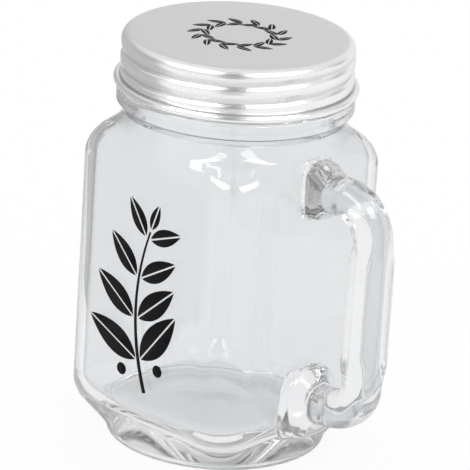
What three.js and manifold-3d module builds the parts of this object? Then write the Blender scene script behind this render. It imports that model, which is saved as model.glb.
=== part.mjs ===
// Clear glass jar mug with a square body, a round threaded neck, a fused loop handle and an aluminium
// screw lid with a foam liner. Millimetres, +Z up. The origin is on the jar's axis, on the face that
// the jar stands on. The handle points along +X and the decorated panel faces -Y.
import * as THREE from 'three';
import { mergeVertices } from 'three/addons/utils/BufferGeometryUtils.js';
import Module from 'manifold-3d';

// Body: a rounded square in plan
const BODY_HALF = 34.5;
const BODY_CORNER = 12.0;
const BODY_WALL = 3.0;
const FLOOR_Z = 10.2;
const FLOOR_FILLET = 9.0;

// Round foot and the chamfer that leads from it to the square body
const FOOT_RADIUS = 33.3;
const FOOT_HEIGHT = 2.3;
const FOOT_EDGE = 1.4;
const FOOT_NOTCH = 0.8;
const CHAMFER_TOP_Z = 11.9;
const CHAMFER_FILLET = 8.6;

// Shoulder from the square body to the round neck
const SHOULDER_Z = 93.0;
const SHOULDER_TOP_Z = 98.9;
const SHOULDER_FILLET = 8.8;
const THROAT_FILLET = 2.5;

// Neck, transfer ring and finish
const NECK_RADIUS = 33.8;
const RING_Z = 104.8;
const RING_HEIGHT = 5.2;
const RING_PROUD = 1.8;
const RING_ROUND = 1.1;
const FINISH_RADIUS = 33.0;
const BORE_RADIUS = 30.2;
const RIM_Z = 124.1;
const RIM_ROUND = 1.2;

// Handle: a rounded bar bent to a D, with a foot fused to the +X panel at each end
const HANDLE_REACH = 22.8;
const HANDLE_WIDTH = 11.6;
const HANDLE_DEPTH = 11.4;
const HANDLE_ROUND = 2.4;
const HANDLE_UPPER_Z = 89.0;
const HANDLE_UPPER_ROOT_Z = 87.8;
const HANDLE_BEND_Z = 23.4;
const HANDLE_LOWER_Z = 20.6;
const UPPER_BEND = 11.5;
const LOWER_BEND = 10.0;
const UPPER_FOOT_WIDTH = 12.4;
const UPPER_FOOT_HEIGHT = 17.0;
const LOWER_FOOT_WIDTH = 20.0;
const LOWER_FOOT_HEIGHT = 21.0;
const FOOT_FLARE = 9.0;
const FUSE_GAP = 0.3;

// Screw lid: thin drawn shell with a curled bead, and the foam liner that seals on the rim
const LID_SKIN = 0.4;
const LID_SKIRT_GAP = 1.2;
const LID_CORNER = 2.7;
const LID_DRAW = 0.2;
const BEAD_RADIUS = 1.1;
const BEAD_GAP = 0.6;
const LINER_THICK = 1.1;
const LINER_SIDE_GAP = 1.5;
const SEAL_GAP = 0.3;

// Fineness of the curves
const FLAT_STEPS = 8;
const CORNER_STEPS = 6;
const FILLET_STEPS = 3;
const LATHE_STEPS = 56;
const BAR_CORNER_STEPS = 4;
const FLARE_STEP = 2.0;
const BEND_STEPS = 7;

const wasm = await Module();
wasm.setup();

/** A polyline whose inner points are rounded by their own fillet radius. */
function rounded(points, steps = FILLET_STEPS) {
  const path = [];
  points.forEach(([r, z, fillet], i) => {
    const here = new THREE.Vector2(r, z);
    if (!fillet || i === 0 || i === points.length - 1) {
      path.push(here);
      return;
    }
    const before = new THREE.Vector2(points[i - 1][0], points[i - 1][1]).sub(here);
    const after = new THREE.Vector2(points[i + 1][0], points[i + 1][1]).sub(here);
    const half = Math.acos(before.dot(after) / (before.length() * after.length())) / 2;
    const room = 0.48 * Math.min(before.length(), after.length());
    const radius = Math.min(fillet, room * Math.tan(half));
    const start = before.clone().setLength(radius / Math.tan(half));
    const end = after.clone().setLength(radius / Math.tan(half));
    const toCentre = before.clone().normalize().add(after.clone().normalize());
    const centre = toCentre.setLength(radius / Math.sin(half));
    const from = start.clone().sub(centre);
    const sweep = from.clone().cross(end.clone().sub(centre)) < 0 ? -1 : 1;
    const angle = sweep * (Math.PI - 2 * half);
    for (let k = 0; k <= steps; k += 1) {
      const turned = from.clone().rotateAround(new THREE.Vector2(), angle * k / steps);
      path.push(turned.add(centre).add(here));
    }
  });
  return path;
}

/** Distance from the axis to a rounded square, along a polar angle. */
function squareRadius(angle, half, corner) {
  const a = Math.abs(Math.cos(angle));
  const b = Math.abs(Math.sin(angle));
  const near = Math.max(a, b);
  const far = Math.min(a, b);
  const core = half - corner;
  if (far * half <= core * near) {
    return half / near;
  }
  const along = core * (near + far);
  return along + Math.sqrt(Math.max(along * along - 2 * core * core + corner * corner, 0));
}

/** Distance from the axis to the corner of a rounded square. */
function diagonal(half, corner) {
  return (half - corner) * Math.SQRT2 + corner;
}

/** Polar angles that fall on the ends of the flats and share out the corners evenly. */
function sectionAngles(half, corner) {
  const edge = Math.atan2(half - corner, half);
  const turn = (Math.PI / 2 - 2 * edge) / CORNER_STEPS;
  const angles = [];
  for (let side = 0; side < 4; side += 1) {
    const middle = side * Math.PI / 2;
    for (let k = 0; k < FLAT_STEPS; k += 1) {
      angles.push(middle + Math.atan2((2 * k / FLAT_STEPS - 1) * (half - corner), half));
    }
    for (let k = 0; k < CORNER_STEPS; k += 1) {
      angles.push(middle + edge + k * turn);
    }
  }
  return angles;
}

/** A closed skin over rings of equal count, with a fan over the first ring and over the last. */
function loft(rings) {
  const count = rings[0].length;
  const position = [];
  const index = [];
  rings.forEach((ring) => ring.forEach((p) => position.push(p.x, p.y, p.z)));
  for (let j = 0; j + 1 < rings.length; j += 1) {
    for (let k = 0; k < count; k += 1) {
      const a = j * count + k;
      const b = j * count + (k + 1) % count;
      index.push(a, b, b + count, a, b + count, a + count);
    }
  }
  [0, rings.length - 1].forEach((j) => {
    const middle = new THREE.Vector3();
    rings[j].forEach((p) => middle.addScaledVector(p, 1 / count));
    const tip = position.length / 3;
    position.push(middle.x, middle.y, middle.z);
    for (let k = 0; k < count; k += 1) {
      const a = j * count + k;
      const b = j * count + (k + 1) % count;
      index.push(...(j === 0 ? [b, a, tip] : [a, b, tip]));
    }
  });
  const geometry = new THREE.BufferGeometry();
  geometry.setAttribute('position', new THREE.Float32BufferAttribute(position, 3));
  geometry.setIndex(index);
  return geometry;
}

/** One round ring of the jar. */
function roundRing(angles, r, z) {
  return angles.map((angle) => new THREE.Vector3(r * Math.cos(angle), r * Math.sin(angle), z));
}

/** One ring of the jar: round up to the inner radius, then drawn out toward the square. */
function jarRing(angles, r, z, round, half, corner) {
  const share = Math.max(0, (r - round) / (diagonal(half, corner) - round));
  return angles.map((angle) => {
    const circle = Math.min(r, round);
    const radius = circle + (squareRadius(angle, half, corner) - round) * share;
    return new THREE.Vector3(radius * Math.cos(angle), radius * Math.sin(angle), z);
  });
}

/** Outer skin of the jar from the standing face up to the ring, as rings of points. */
function outerRings(angles, grow) {
  const half = BODY_HALF + grow;
  const corner = BODY_CORNER + grow;
  const wide = diagonal(half, corner);
  const foot = FOOT_RADIUS + grow;
  const neck = NECK_RADIUS + grow;
  const ring = NECK_RADIUS + RING_PROUD + grow;
  const lower = rounded([
    [foot - 2 * FOOT_EDGE, 0, 0],
    [foot, 0, FOOT_EDGE],
    [foot, FOOT_HEIGHT, FOOT_NOTCH],
    [wide, CHAMFER_TOP_Z, CHAMFER_FILLET],
    [wide, (CHAMFER_TOP_Z + SHOULDER_Z) / 2, 0],
  ]).slice(0, -1);
  const upper = rounded([
    [wide, (CHAMFER_TOP_Z + SHOULDER_Z) / 2, 0],
    [wide, SHOULDER_Z, SHOULDER_FILLET],
    [neck, SHOULDER_TOP_Z, THROAT_FILLET],
    [neck, RING_Z, 0],
    [ring, RING_Z + RING_ROUND / 2, RING_ROUND],
    [ring, RING_Z + RING_HEIGHT, RING_ROUND],
    [neck, RING_Z + RING_HEIGHT, 0],
  ]).slice(1);
  return [
    ...lower.map((p) => jarRing(angles, p.x, p.y, foot, half, corner)),
    ...upper.map((p) => (p.y < RING_Z - 1e-6
      ? jarRing(angles, p.x, p.y, neck, half, corner)
      : roundRing(angles, p.x, p.y))),
  ];
}

/** Finish above the ring, over the rim and down the inside to the floor. */
function innerRings(angles) {
  const half = BODY_HALF - BODY_WALL;
  const corner = BODY_CORNER - BODY_WALL;
  const wide = diagonal(half, corner);
  const slope = new THREE.Vector2(
    NECK_RADIUS - diagonal(BODY_HALF, BODY_CORNER), SHOULDER_TOP_Z - SHOULDER_Z).normalize();
  const slopeZ = (r) => SHOULDER_TOP_Z + BODY_WALL * slope.x
    + (r - NECK_RADIUS + BODY_WALL * slope.y) * slope.y / slope.x;
  const finish = rounded([
    [FINISH_RADIUS, RING_Z + RING_HEIGHT, 0],
    [FINISH_RADIUS, RIM_Z, RIM_ROUND],
    [BORE_RADIUS, RIM_Z, RIM_ROUND],
    [BORE_RADIUS, slopeZ(BORE_RADIUS), 0],
  ]).slice(0, -1);
  const inside = rounded([
    [BORE_RADIUS, RIM_Z, 0],
    [BORE_RADIUS, slopeZ(BORE_RADIUS), THROAT_FILLET + BODY_WALL],
    [wide, slopeZ(wide), SHOULDER_FILLET],
    [wide, FLOOR_Z, FLOOR_FILLET],
    [BORE_RADIUS / 2, FLOOR_Z, 0],
  ]).slice(1);
  return [
    ...finish.map((p) => roundRing(angles, p.x, p.y)),
    ...inside.map((p) => jarRing(angles, p.x, p.y, BORE_RADIUS, half, corner)),
  ];
}

/** A rounded rectangle as an even ring of points in its own plane. */
function barSection(width, height, round) {
  const edge = Math.min(round, width / 2 - 0.1, height / 2 - 0.1);
  const ring = [];
  [[1, 1, 0], [-1, 1, 1], [-1, -1, 2], [1, -1, 3]].forEach(([sx, sy, quarter]) => {
    for (let k = 0; k <= BAR_CORNER_STEPS; k += 1) {
      const angle = (quarter + k / BAR_CORNER_STEPS) * Math.PI / 2;
      const u = sx * (width / 2 - edge) + edge * Math.cos(angle);
      const v = sy * (height / 2 - edge) + edge * Math.sin(angle);
      ring.push(new THREE.Vector2(u, v));
    }
  });
  return ring;
}

/** The bar swept along its D path, swelling to a foot at each end. */
function handleRings() {
  const bar = BODY_HALF + HANDLE_REACH;
  const root = BODY_HALF - BODY_WALL;
  const sharp = rounded([
    [root, HANDLE_UPPER_ROOT_Z, 0],
    [bar, HANDLE_UPPER_Z, UPPER_BEND],
    [bar, HANDLE_BEND_Z, LOWER_BEND],
    [root, HANDLE_LOWER_Z, 0],
  ], BEND_STEPS);
  const path = [sharp[0]];
  sharp.slice(1).forEach((p, i) => {
    const arm = i === 0 || i === sharp.length - 2;
    const steps = arm ? Math.ceil(p.distanceTo(sharp[i]) / FLARE_STEP) : 1;
    for (let k = 1; k <= steps; k += 1) {
      path.push(sharp[i].clone().lerp(p, k / steps));
    }
  });
  const swell = (x) => {
    const t = THREE.MathUtils.clamp((x - BODY_HALF) / FOOT_FLARE, 0, 1);
    return (1 - t) * (1 - t);
  };
  return path.map((p, i) => {
    const before = path[Math.max(i - 1, 0)];
    const after = path[Math.min(i + 1, path.length - 1)];
    const along = after.clone().sub(before).normalize();
    const upper = p.y > (HANDLE_UPPER_Z + HANDLE_LOWER_Z) / 2;
    const share = swell(p.x);
    const footWidth = upper ? UPPER_FOOT_WIDTH : LOWER_FOOT_WIDTH;
    const footHeight = upper ? UPPER_FOOT_HEIGHT : LOWER_FOOT_HEIGHT;
    const width = THREE.MathUtils.lerp(HANDLE_WIDTH, footWidth, share);
    const depth = THREE.MathUtils.lerp(HANDLE_DEPTH, footHeight, share);
    const round = HANDLE_ROUND * Math.min(width / HANDLE_WIDTH, depth / HANDLE_DEPTH);
    return barSection(width, depth, round).map((q) => new THREE.Vector3(
      p.x - along.y * q.y, q.x, p.y + along.x * q.y));
  });
}

/** The solid of a closed geometry, for a boolean operation. */
function solidOf(geometry) {
  const bare = geometry.clone();
  bare.deleteAttribute('normal');
  bare.deleteAttribute('uv');
  const merged = mergeVertices(bare, 1e-4);
  const mesh = new wasm.Mesh({
    numProp: 3,
    vertProperties: Float32Array.from(merged.attributes.position.array),
    triVerts: Uint32Array.from(merged.index.array),
  });
  return new wasm.Manifold(mesh);
}

/** The geometry of a solid that a boolean operation gave. */
function geometryOf(solid) {
  const mesh = solid.getMesh();
  const geometry = new THREE.BufferGeometry();
  geometry.setAttribute('position', new THREE.Float32BufferAttribute(mesh.vertProperties, 3));
  geometry.setIndex(Array.from(mesh.triVerts));
  return geometry;
}

/** A solid revolved round the jar's axis, from a profile that starts and ends on it. */
function revolve(profile) {
  return new THREE.LatheGeometry(profile, LATHE_STEPS).rotateX(Math.PI / 2);
}

const angles = sectionAngles(BODY_HALF, BODY_CORNER);
const jarGeometry = loft([...outerRings(angles, 0), ...innerRings(angles)]);

// The bar starts inside the wall and is trimmed to the panel, so each foot follows the glass
const outside = solidOf(loft(outerRings(angles, FUSE_GAP)));
const bar = solidOf(loft(handleRings()));
const handleGeometry = geometryOf(bar.subtract(outside));

// The liner lies over the rim and the lid lies over the liner
const linerZ = RIM_Z + SEAL_GAP;
const linerTop = linerZ + LINER_THICK;
const lidInner = FINISH_RADIUS + LID_SKIRT_GAP;
const lidOuter = lidInner + LID_SKIN;
const lidCeiling = linerTop + SEAL_GAP;
const lidTop = lidCeiling + LID_SKIN;
const beadZ = RING_Z + RING_HEIGHT + BEAD_GAP;
const beadOuter = lidOuter + LID_DRAW + 2 * BEAD_RADIUS - LID_SKIN;
const linerRadius = lidInner - LINER_SIDE_GAP;

const lidGeometry = revolve(rounded([
  [0, lidCeiling, 0],
  [lidInner, lidCeiling, LID_CORNER - LID_SKIN],
  [lidInner, beadZ + 2 * BEAD_RADIUS, 0],
  [lidInner + LID_DRAW, beadZ + BEAD_RADIUS, 0],
  [lidInner + LID_DRAW, beadZ, BEAD_RADIUS / 2],
  [beadOuter, beadZ, BEAD_RADIUS],
  [beadOuter, beadZ + 2 * BEAD_RADIUS, BEAD_RADIUS],
  [lidOuter, beadZ + 2 * BEAD_RADIUS, BEAD_RADIUS / 2],
  [lidOuter, lidTop, LID_CORNER],
  [0, lidTop, 0],
]));

const linerGeometry = revolve([
  new THREE.Vector2(0, linerZ),
  new THREE.Vector2(linerRadius, linerZ),
  new THREE.Vector2(linerRadius, linerTop),
  new THREE.Vector2(0, linerTop),
]);

const glass = { color: 0xe4e9e8, roughness: 0.03, metalness: 0.0, transparent: true, opacity: 0.35 };
const aluminium = { color: 0xd8d8d6, roughness: 0.28, metalness: 1.0 };
const foam = { color: 0xf4f4f0, roughness: 0.85, metalness: 0.0 };

/** A named mesh with a material of its own. */
function piece(name, geometry, look) {
  const mesh = new THREE.Mesh(geometry, new THREE.MeshStandardMaterial(look));
  mesh.name = name;
  geometry.computeVertexNormals();
  return mesh;
}

// The lid and its liner lift off together
const closure = new THREE.Group();
closure.add(piece('lid', lidGeometry, aluminium));
closure.add(piece('lid_liner', linerGeometry, foam));

const jarMug = new THREE.Group();
jarMug.add(piece('jar', jarGeometry, glass));
jarMug.add(piece('handle', handleGeometry, glass));
jarMug.add(closure);

export default jarMug;
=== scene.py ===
"""Clear glass jar mug with a screw lid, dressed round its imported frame.

Sizes in the classes are millimetres, in the frame of the solids: the origin on the jar's axis on the face
that it stands on, +Z up, the handle along +X, the decorated panel facing -Y. A finished piece is scaled to
metres when its mesh is handed over.
"""
import logging
import math
from dataclasses import dataclass
from enum import Enum

import bmesh
import bpy
from mathutils import Matrix, Vector, noise

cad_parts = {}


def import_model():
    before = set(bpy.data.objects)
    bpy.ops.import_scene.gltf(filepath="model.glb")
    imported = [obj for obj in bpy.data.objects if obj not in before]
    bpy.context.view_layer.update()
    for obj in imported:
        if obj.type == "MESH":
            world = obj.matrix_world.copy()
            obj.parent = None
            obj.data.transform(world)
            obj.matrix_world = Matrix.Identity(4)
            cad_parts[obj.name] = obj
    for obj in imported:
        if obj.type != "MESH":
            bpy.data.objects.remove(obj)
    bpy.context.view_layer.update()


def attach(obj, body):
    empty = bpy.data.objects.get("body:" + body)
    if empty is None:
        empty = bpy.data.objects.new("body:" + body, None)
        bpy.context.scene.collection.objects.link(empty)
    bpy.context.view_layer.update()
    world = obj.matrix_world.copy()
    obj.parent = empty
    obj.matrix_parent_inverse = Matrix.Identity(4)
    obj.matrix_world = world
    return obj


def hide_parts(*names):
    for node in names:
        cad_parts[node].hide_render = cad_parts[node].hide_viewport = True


MM = 0.001
IMAGE_SIDE = 470
SENSOR = 36.0
# Light that runs along inside the wall turns more often than the usual limit lets it.
GLASS_TURNS = 128
# Points closer than this, in millimetres, are one point.
TOUCHING = 1e-4
WHITE = "#FFFFFF"
# The lid's attribute that darkens its colour and raises its roughness: up to one on the downward walls of
# the thread's groove, a painted shade, and higher in the crease over the bead, a painted shade line.
SHADE_AND_DULL = "shade_and_dull"
LOG = logging.getLogger("jar_mug")


class Body(Enum):
    """The bodies of the frame that pieces ride on."""

    JAR = "jar"
    LINER = "liner"
    LID = "lid"


class Slot(Enum):
    """The material slots of the record."""

    GLASS = "jar_glass"
    LID = "lid_aluminium"
    FOAM = "liner_foam"


def linear(colour: str) -> tuple[float, float, float, float]:
    """Turn an sRGB hex colour to linear light.

    Args:
        colour: Six hex digits after a hash sign.

    Returns:
        Linear red, green and blue, with an alpha of one.
    """
    parts = [int(colour[i:i + 2], 16) / 255.0 for i in (1, 3, 5)]
    light = [c / 12.92 if c <= 0.04045 else ((c + 0.055) / 1.055) ** 2.4 for c in parts]
    return (light[0], light[1], light[2], 1.0)


def add_node(tree: bpy.types.NodeTree, kind: str, inputs: dict[str | int, object] | None = None,
             **settings: object) -> bpy.types.Node:
    """Add one node, with its settings, values and links.

    Args:
        tree: The node tree that gets the node.
        kind: The node's type name.
        inputs: Socket name or index to a plain value, or to the output socket to link from.
        **settings: Properties of the node itself.

    Returns:
        The new node.
    """
    node = tree.nodes.new(kind)
    for name, value in settings.items():
        setattr(node, name, value)
    for socket, value in (inputs or {}).items():
        if isinstance(value, bpy.types.NodeSocket):
            tree.links.new(value, node.inputs[socket])
        else:
            node.inputs[socket].default_value = value
    return node


def empty_tree(owner: bpy.types.ID) -> bpy.types.NodeTree:
    """Give a material or a world an empty node tree.

    Args:
        owner: The material or world.

    Returns:
        Its node tree.
    """
    owner.use_nodes = True
    owner.node_tree.nodes.clear()
    return owner.node_tree


def hand_over(name: str, shape: bmesh.types.BMesh, material: bpy.types.Material, body: Body,
              stands_for: tuple[str, ...] = ()) -> bpy.types.Object:
    """Make a piece of a finished shape in millimetres and seat it in the frame.

    Args:
        name: Name of the piece.
        shape: The shape, which is freed.
        material: What it is made of.
        body: The body that it rides on.
        stands_for: The solids that it replaces.

    Returns:
        The new object.
    """
    bmesh.ops.scale(shape, vec=(MM, MM, MM), verts=shape.verts)
    bmesh.ops.recalc_face_normals(shape, faces=shape.faces)
    for face in shape.faces:
        face.smooth = True
    mesh = bpy.data.meshes.new(name)
    shape.to_mesh(mesh)
    shape.free()
    mesh.materials.append(material)
    piece = bpy.data.objects.new(name, mesh)
    bpy.context.scene.collection.objects.link(piece)
    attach(piece, body.value)
    if stands_for:
        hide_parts(*stands_for)
    LOG.info("%s: %d faces, rides on %s", name, len(mesh.polygons), body.value)
    return piece


def facing(azimuth: float, elevation: float) -> tuple[Vector, Vector]:
    """Directions of a thing that looks at the jar.

    Args:
        azimuth: Its bearing, from -Y towards +X, in degrees.
        elevation: Its height above the horizontal, in degrees.

    Returns:
        The unit vector to its right, and the one from the jar back to it.
    """
    turn, rise = math.radians(azimuth), math.radians(elevation)
    right = Vector((math.cos(turn), math.sin(turn), 0.0))
    back = Vector((math.sin(turn) * math.cos(rise), -math.cos(turn) * math.cos(rise), math.sin(rise)))
    return right, back


def eased(share: float) -> float:
    """Smooth a share that is held between nought and one.

    Args:
        share: Any number.

    Returns:
        The smooth step of it.
    """
    held = min(max(share, 0.0), 1.0)
    return held * held * (3.0 - 2.0 * held)


@dataclass(frozen=True)
class Outline:
    """A line in the plane through the axis, given by its corners as radius, height and fillet."""

    corners: tuple[tuple[float, float, float], ...]

    def draw(self, shape: bmesh.types.BMesh, steps: int = 8) -> None:
        """Draw the line and round its corners.

        Args:
            shape: The mesh that gets the line.
            steps: Segments of a fillet.
        """
        verts = [shape.verts.new((radius, 0.0, height)) for radius, height, _ in self.corners]
        for ends in zip(verts, verts[1:]):
            shape.edges.new(ends)
        for i in range(1, len(self.corners) - 1):
            fillet = self.corners[i][2]
            if not fillet:
                continue
            here, before, after = (Vector(self.corners[k][:2]) for k in (i, i - 1, i + 1))
            half = (before - here).angle(after - here) / 2.0
            bmesh.ops.bevel(shape, geom=[verts[i]], offset=fillet / math.tan(half), offset_type="OFFSET",
                            segments=steps, profile=0.5, affect="VERTICES", material=-1,
                            clamp_overlap=False)

    def path(self, steps: int = 12) -> list[Vector]:
        """Follow the rounded line from its first corner.

        Args:
            steps: Segments of a fillet.

        Returns:
            Its points in order.
        """
        shape = bmesh.new()
        self.draw(shape, steps)
        start = Vector((self.corners[0][0], 0.0, self.corners[0][1]))
        vert = min(shape.verts, key=lambda v: (v.co - start).length)
        points = [vert.co.copy()]
        edge = vert.link_edges[0]
        while edge is not None:
            vert = edge.other_vert(vert)
            points.append(vert.co.copy())
            onward = [e for e in vert.link_edges if e is not edge]
            edge = onward[0] if onward else None
        shape.free()
        return points


def divide_line(shape: bmesh.types.BMesh, low: float, high: float, step: float) -> None:
    """Cut the bare edges of a line into short runs.

    Args:
        shape: The mesh with the line.
        low: Lowest height of an edge's middle.
        high: Highest height of an edge's middle.
        step: Longest run that is left.
    """
    for edge in [e for e in shape.edges if e.is_wire]:
        middle = (edge.verts[0].co.z + edge.verts[1].co.z) / 2.0
        cuts = math.ceil(edge.calc_length() / step) - 1
        if low <= middle <= high and cuts > 0:
            bmesh.ops.subdivide_edges(shape, edges=[edge], cuts=cuts)


def spin_line(shape: bmesh.types.BMesh, steps: int) -> list[bmesh.types.BMVert]:
    """Turn the bare line of a mesh once round the axis.

    Args:
        shape: The mesh with the line.
        steps: Segments of the turn.

    Returns:
        The vertices of the new skin.
    """
    old = {v for v in shape.verts if v.link_faces}
    line = [e for e in shape.edges if e.is_wire]
    ends = dict.fromkeys(v for e in line for v in e.verts)
    bmesh.ops.spin(shape, geom=[*ends, *line], cent=(0, 0, 0), axis=(0, 0, 1), dvec=(0, 0, 0),
                   angle=math.tau, steps=steps, use_merge=True, use_normal_flip=False, use_duplicate=False)
    fresh = [v for v in shape.verts if v not in old]
    bmesh.ops.remove_doubles(shape, verts=fresh, dist=TOUCHING)
    return [v for v in shape.verts if v not in old]


@dataclass(frozen=True)
class SquareMould:
    """A rounded square round the axis, which a round blank is drawn out to."""

    half: float
    corner: float
    circle: float = 0.0

    @property
    def diagonal(self) -> float:
        """Distance from the axis to a corner."""
        return (self.half - self.corner) * math.sqrt(2.0) + self.corner

    def reach(self, angle: float) -> float:
        """Distance from the axis to the square.

        Args:
            angle: Polar angle in radians.

        Returns:
            The distance.
        """
        near, far = sorted((abs(math.cos(angle)), abs(math.sin(angle))), reverse=True)
        core = self.half - self.corner
        if far * self.half <= core * near:
            return self.half / near
        along = core * (near + far)
        return along + math.sqrt(max(along * along - 2.0 * core * core + self.corner ** 2, 0.0))

    def press(self, point: Vector) -> Vector:
        """Draw a point of the round blank out to the square.

        Args:
            point: A point of the blank, whose widest radius is the square's diagonal.

        Returns:
            Where the point goes.
        """
        radius = point.xy.length
        if radius <= self.circle:
            return point.copy()
        share = (radius - self.circle) / (self.diagonal - self.circle)
        drawn = self.circle + (self.reach(math.atan2(point.y, point.x)) - self.circle) * share
        return Vector((point.x * drawn / radius, point.y * drawn / radius, point.z))


@dataclass(frozen=True)
class Helix:
    """A right-handed thread line round the axis, with ends that fade."""

    top: float
    start_angle: float
    pitch: float
    turns: float
    width: float
    depth: float
    fade: float = 0.12
    skew: float = 0.0

    def height(self, angle: float, level: float) -> float:
        """How far the thread stands out at a place.

        Args:
            angle: Polar angle in radians.
            level: Height of the place.

        Returns:
            Height of the thread's section there.
        """
        turn = ((self.start_angle - angle) / math.tau) % 1.0
        best = 0.0
        for lap in range(math.ceil(self.turns) + 1):
            run = turn + lap
            off = level - self.top + run * self.pitch
            away = abs(off) / (self.width / 2.0 * (1.0 + math.copysign(self.skew, off)))
            if run > self.turns or away >= 1.0:
                continue
            ends = min(run, self.turns - run) / self.fade
            taper = 0.5 - 0.5 * math.cos(math.pi * min(ends, 1.0))
            best = max(best, self.depth * taper * (0.5 + 0.5 * math.cos(math.pi * away)))
        return best


@dataclass(frozen=True)
class PressedGlass:
    """Soda-lime glass, pressed in a mould and fire polished.

    Clear with a trace of grey in depth, so the thick base and the edges go darker, and the edges are
    darkened further by a colour that goes grey where the surface is seen edge-on, a painted shade. The skin
    is faintly uneven from the mould, which makes what is behind it swim a little. The standing face is
    stippled and blurs what is under it. On the handle the painted edge shade is weaker, and the handle is
    drawn by hand, so its skin is a trace hazy.
    """

    ior: float = 1.52
    roughness: float = 0.0
    surface: str = "#F1F2F3"
    # Grey that the colour goes to where the glass is seen edge-on: a painted shade for dark edges.
    edge: str = "#7A7B7E"
    edge_shade_start: float = 0.38
    depth_tint: str = "#F6F6F6"
    density: float = 18.0
    wave_mm: float = 14.0
    wave_detail: float = 1.0
    wave_depth_mm: float = 0.05
    wave_strength: float = 0.25
    handle_x_mm: tuple[float, float] = (34.8, 36.0)
    handle_edge_shade_share: float = 0.2
    slim_haze: float = 0.05
    stipple: float = 0.09
    stipple_mm: tuple[float, float] = (1.0, 2.2)

    def make(self) -> bpy.types.Material:
        """Make the material.

        Returns:
            The material.
        """
        material = bpy.data.materials.new("pressed_soda_lime_glass")
        tree = empty_tree(material)
        place = add_node(tree, "ShaderNodeTexCoord")
        wave = add_node(tree, "ShaderNodeTexNoise", {
            "Vector": place.outputs["Object"], "Scale": 1.0 / (self.wave_mm * MM),
            "Detail": self.wave_detail})
        skin = add_node(tree, "ShaderNodeBump", {
            "Strength": self.wave_strength, "Distance": self.wave_depth_mm * MM,
            "Height": wave.outputs["Fac"]})
        level = add_node(tree, "ShaderNodeSeparateXYZ", {0: place.outputs["Object"]})
        rough = add_node(tree, "ShaderNodeMapRange", {
            "Value": level.outputs["Z"], "From Min": self.stipple_mm[0] * MM,
            "From Max": self.stipple_mm[1] * MM, "To Min": self.stipple, "To Max": self.roughness})
        # Painted shade: the colour darkens towards the edge grey where the surface is seen edge-on, with a
        # smaller share on the handle.
        grazing = add_node(tree, "ShaderNodeLayerWeight")
        rim = add_node(tree, "ShaderNodeMapRange", {
            "Value": grazing.outputs["Facing"], "From Min": self.edge_shade_start, "From Max": 1.0},
            interpolation_type="SMOOTHSTEP")
        slim = add_node(tree, "ShaderNodeMapRange", {
            "Value": level.outputs["X"], "From Min": self.handle_x_mm[0] * MM, "From Max": self.handle_x_mm[1] * MM,
            "To Min": 1.0, "To Max": self.handle_edge_shade_share})
        haze = add_node(tree, "ShaderNodeMapRange", {
            "Value": level.outputs["X"], "From Min": self.handle_x_mm[0] * MM, "From Max": self.handle_x_mm[1] * MM,
            "To Min": 0.0, "To Max": self.slim_haze})
        dull = add_node(tree, "ShaderNodeMath", {0: rough.outputs["Result"], 1: haze.outputs["Result"]},
                        operation="MAXIMUM")
        thick = add_node(tree, "ShaderNodeMath", {0: rim.outputs["Result"], 1: slim.outputs["Result"]},
                         operation="MULTIPLY")
        tint = add_node(tree, "ShaderNodeMix", {
            0: thick.outputs[0], 6: linear(self.surface), 7: linear(self.edge)}, data_type="RGBA")
        glass = add_node(tree, "ShaderNodeBsdfPrincipled", {
            "Base Color": tint.outputs[2], "Roughness": dull.outputs[0], "IOR": self.ior,
            "Transmission Weight": 1.0, "Normal": skin.outputs["Normal"]})
        depth = add_node(tree, "ShaderNodeVolumeAbsorption", {
            "Color": linear(self.depth_tint), "Density": self.density})
        add_node(tree, "ShaderNodeOutputMaterial", {
            "Surface": glass.outputs["BSDF"], "Volume": depth.outputs["Volume"]})
        return material


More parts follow.
